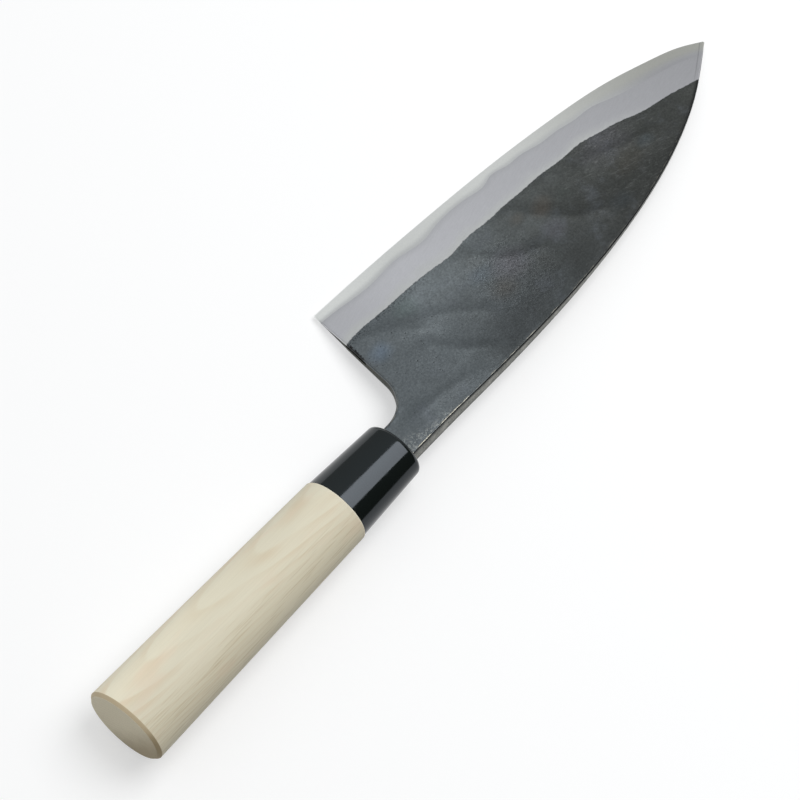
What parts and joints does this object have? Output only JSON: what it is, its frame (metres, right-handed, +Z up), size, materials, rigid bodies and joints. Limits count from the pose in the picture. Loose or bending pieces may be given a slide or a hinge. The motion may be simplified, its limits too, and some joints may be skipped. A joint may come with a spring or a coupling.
{
  "type": "deba knife",
  "caption": "Deba kitchen knife: thick forge-black blade with a bright bevel, deep heel, oval wooden handle and black resin ferrule.",
  "frame": {"origin": "on the table, under the middle of the knife's box", "axes": "+X from the butt to the tip, +Y from the spine to the cutting edge, +Z up, with the left cheek on top; the knife lies on its right cheek"},
  "size_m": [0.315, 0.0652, 0.0271],
  "materials": {
    "forge_scale_iron": "black forge scale on soft iron, bare and satin on the bevels",
    "hard_steel": "ground satin, bright along the edge",
    "ho_wood": "bare, fine sanded",
    "black_resin": "polished",
    "bedding_resin": "cast adhesive resin",
    "seal_resin": "cast resin, satin"
  },
  "bodies": {
    "root": {"blade_body": "forge_scale_iron", "edge_core": "hard_steel", "wood_grip": "ho_wood", "ferrule_cap": "black_resin", "tang_bedding": "bedding_resin", "mouth_seal": "seal_resin"}
  },
  "joints": []
}
